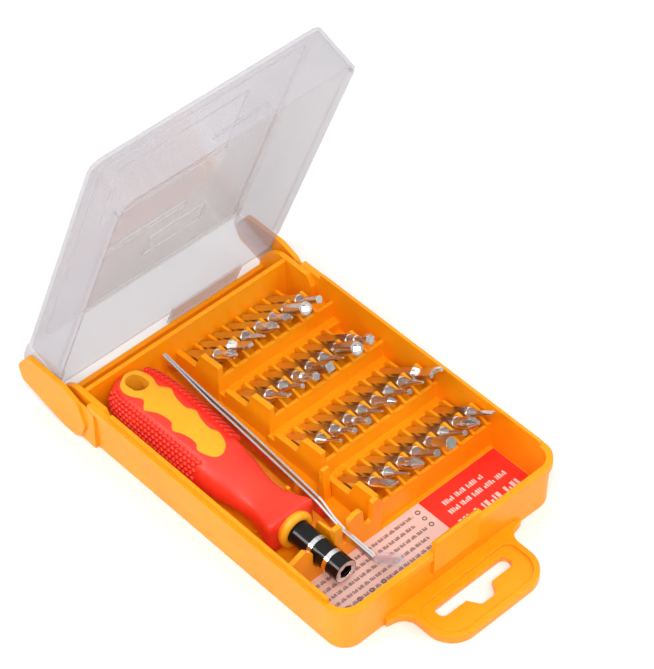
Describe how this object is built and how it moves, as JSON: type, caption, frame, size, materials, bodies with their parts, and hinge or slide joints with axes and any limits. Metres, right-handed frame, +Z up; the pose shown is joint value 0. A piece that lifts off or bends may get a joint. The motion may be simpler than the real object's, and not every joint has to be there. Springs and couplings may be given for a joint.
{
  "type": "precision screwdriver set",
  "caption": "Pocket case with a hinged clear lid holding a two-tone driver, rows of small hex bits and slim bent-tip tweezers.",
  "frame": {"origin": "centre of the tray underside, midway along the long side walls between the front wall and the hinge end", "axes": "+Z up, +Y from the hang tab towards the hinge, +X across the width, from the driver towards the bits"},
  "size_m": [0.09, 0.1619, 0.1206],
  "materials": {
    "tray_plastic": "smooth satin moulding",
    "lid_clear": "clear, polished",
    "label_paper": "printed card",
    "grip_rubber": "soft satin",
    "core_plastic": "smooth",
    "barrel_black": "gloss black",
    "ring_chrome": "bright",
    "magnet_steel": "plain",
    "tweezers_steel": "polished",
    "sleeve_clear": "clear, soft",
    "bit_steel": "satin chrome"
  },
  "bodies": {
    "tray": {"tray": "tray_plastic", "label_card": "label_paper"},
    "lid": {"lid": "lid_clear"},
    "driver": {"driver_rubber_grip": "grip_rubber", "driver_grip_core": "core_plastic", "driver_collar": "core_plastic", "driver_barrel": "barrel_black", "driver_ring_front": "ring_chrome", "driver_ring_rear": "ring_chrome", "driver_nose_ring": "ring_chrome", "driver_magnet": "magnet_steel"},
    "tweezers": {"tweezers_arm_left": "tweezers_steel", "tweezers_arm_right": "tweezers_steel", "tweezers_rivet": "tweezers_steel", "tweezers_tip_sleeve": "sleeve_clear"},
    "bit_1_1": {"bit_1_1": "bit_steel"},
    "bit_1_2": {"bit_1_2": "bit_steel"},
    "bit_1_3": {"bit_1_3": "bit_steel"},
    "bit_1_4": {"bit_1_4": "bit_steel"},
    "bit_1_5": {"bit_1_5": "bit_steel"},
    "bit_1_6": {"bit_1_6": "bit_steel"},
    "bit_1_7": {"bit_1_7": "bit_steel"},
    "bit_2_1": {"bit_2_1": "bit_steel"},
    "bit_2_2": {"bit_2_2": "bit_steel"},
    "bit_2_3": {"bit_2_3": "bit_steel"},
    "bit_2_4": {"bit_2_4": "bit_steel"},
    "bit_2_5": {"bit_2_5": "bit_steel"},
    "bit_2_6": {"bit_2_6": "bit_steel"},
    "bit_2_7": {"bit_2_7": "bit_steel"},
    "bit_3_1": {"bit_3_1": "bit_steel"},
    "bit_3_2": {"bit_3_2": "bit_steel"},
    "bit_3_3": {"bit_3_3": "bit_steel"},
    "bit_3_4": {"bit_3_4": "bit_steel"},
    "bit_3_5": {"bit_3_5": "bit_steel"},
    "bit_3_6": {"bit_3_6": "bit_steel"},
    "bit_3_7": {"bit_3_7": "bit_steel"},
    "bit_3_8": {"bit_3_8": "bit_steel"},
    "bit_4_1": {"bit_4_1": "bit_steel"},
    "bit_4_2": {"bit_4_2": "bit_steel"},
    "bit_4_3": {"bit_4_3": "bit_steel"},
    "bit_4_4": {"bit_4_4": "bit_steel"},
    "bit_4_5": {"bit_4_5": "bit_steel"},
    "bit_4_6": {"bit_4_6": "bit_steel"},
    "bit_4_7": {"bit_4_7": "bit_steel"},
    "bit_4_8": {"bit_4_8": "bit_steel"}
  },
  "joints": [
    {"name": "lid_hinge", "type": "hinge", "parent": "tray", "child": "lid", "pos_m": [0, 0.0553, 0.0041], "axis": [-1, 0, 0], "range_deg": [-68.85, 0]},
    {"name": "driver_lift", "type": "slide", "parent": "tray", "child": "driver", "axis": [0, 0, 1], "range_m": [0, 0.035]},
    {"name": "tweezers_lift", "type": "slide", "parent": "tray", "child": "tweezers", "axis": [0, 0, 1], "range_m": [0, 0.03]},
    {"name": "bit_1_1_pull", "type": "slide", "parent": "tray", "child": "bit_1_1", "axis": [0, -0.7738, 0.6334], "range_m": [0, 0.03]},
    {"name": "bit_1_2_pull", "type": "slide", "parent": "tray", "child": "bit_1_2", "axis": [0, -0.7738, 0.6334], "range_m": [0, 0.03]},
    {"name": "bit_1_3_pull", "type": "slide", "parent": "tray", "child": "bit_1_3", "axis": [0, -0.7738, 0.6334], "range_m": [0, 0.03]},
    {"name": "bit_1_4_pull", "type": "slide", "parent": "tray", "child": "bit_1_4", "axis": [0, -0.7738, 0.6334], "range_m": [0, 0.03]},
    {"name": "bit_1_5_pull", "type": "slide", "parent": "tray", "child": "bit_1_5", "axis": [0, -0.7738, 0.6334], "range_m": [0, 0.03]},
    {"name": "bit_1_6_pull", "type": "slide", "parent": "tray", "child": "bit_1_6", "axis": [0, -0.7738, 0.6334], "range_m": [0, 0.03]},
    {"name": "bit_1_7_pull", "type": "slide", "parent": "tray", "child": "bit_1_7", "axis": [0, -0.7738, 0.6334], "range_m": [0, 0.03]},
    {"name": "bit_2_1_pull", "type": "slide", "parent": "tray", "child": "bit_2_1", "axis": [0, -0.7738, 0.6334], "range_m": [0, 0.03]},
    {"name": "bit_2_2_pull", "type": "slide", "parent": "tray", "child": "bit_2_2", "axis": [0, -0.7738, 0.6334], "range_m": [0, 0.03]},
    {"name": "bit_2_3_pull", "type": "slide", "parent": "tray", "child": "bit_2_3", "axis": [0, -0.7738, 0.6334], "range_m": [0, 0.03]},
    {"name": "bit_2_4_pull", "type": "slide", "parent": "tray", "child": "bit_2_4", "axis": [0, -0.7738, 0.6334], "range_m": [0, 0.03]},
    {"name": "bit_2_5_pull", "type": "slide", "parent": "tray", "child": "bit_2_5", "axis": [0, -0.7738, 0.6334], "range_m": [0, 0.03]},
    {"name": "bit_2_6_pull", "type": "slide", "parent": "tray", "child": "bit_2_6", "axis": [0, -0.7738, 0.6334], "range_m": [0, 0.03]},
    {"name": "bit_2_7_pull", "type": "slide", "parent": "tray", "child": "bit_2_7", "axis": [0, -0.7738, 0.6334], "range_m": [0, 0.03]},
    {"name": "bit_3_1_pull", "type": "slide", "parent": "tray", "child": "bit_3_1", "axis": [0, -0.7738, 0.6334], "range_m": [0, 0.03]},
    {"name": "bit_3_2_pull", "type": "slide", "parent": "tray", "child": "bit_3_2", "axis": [0, -0.7738, 0.6334], "range_m": [0, 0.03]},
    {"name": "bit_3_3_pull", "type": "slide", "parent": "tray", "child": "bit_3_3", "axis": [0, -0.7738, 0.6334], "range_m": [0, 0.03]},
    {"name": "bit_3_4_pull", "type": "slide", "parent": "tray", "child": "bit_3_4", "axis": [0, -0.7738, 0.6334], "range_m": [0, 0.03]},
    {"name": "bit_3_5_pull", "type": "slide", "parent": "tray", "child": "bit_3_5", "axis": [0, -0.7738, 0.6334], "range_m": [0, 0.03]},
    {"name": "bit_3_6_pull", "type": "slide", "parent": "tray", "child": "bit_3_6", "axis": [0, -0.7738, 0.6334], "range_m": [0, 0.03]},
    {"name": "bit_3_7_pull", "type": "slide", "parent": "tray", "child": "bit_3_7", "axis": [0, -0.7738, 0.6334], "range_m": [0, 0.03]},
    {"name": "bit_3_8_pull", "type": "slide", "parent": "tray", "child": "bit_3_8", "axis": [0, -0.7738, 0.6334], "range_m": [0, 0.03]},
    {"name": "bit_4_1_pull", "type": "slide", "parent": "tray", "child": "bit_4_1", "axis": [0, -0.7738, 0.6334], "range_m": [0, 0.03]},
    {"name": "bit_4_2_pull", "type": "slide", "parent": "tray", "child": "bit_4_2", "axis": [0, -0.7738, 0.6334], "range_m": [0, 0.03]},
    {"name": "bit_4_3_pull", "type": "slide", "parent": "tray", "child": "bit_4_3", "axis": [0, -0.7738, 0.6334], "range_m": [0, 0.03]},
    {"name": "bit_4_4_pull", "type": "slide", "parent": "tray", "child": "bit_4_4", "axis": [0, -0.7738, 0.6334], "range_m": [0, 0.03]},
    {"name": "bit_4_5_pull", "type": "slide", "parent": "tray", "child": "bit_4_5", "axis": [0, -0.7738, 0.6334], "range_m": [0, 0.03]},
    {"name": "bit_4_6_pull", "type": "slide", "parent": "tray", "child": "bit_4_6", "axis": [0, -0.7738, 0.6334], "range_m": [0, 0.03]},
    {"name": "bit_4_7_pull", "type": "slide", "parent": "tray", "child": "bit_4_7", "axis": [0, -0.7738, 0.6334], "range_m": [0, 0.03]},
    {"name": "bit_4_8_pull", "type": "slide", "parent": "tray", "child": "bit_4_8", "axis": [0, -0.7738, 0.6334], "range_m": [0, 0.03]}
  ]
}
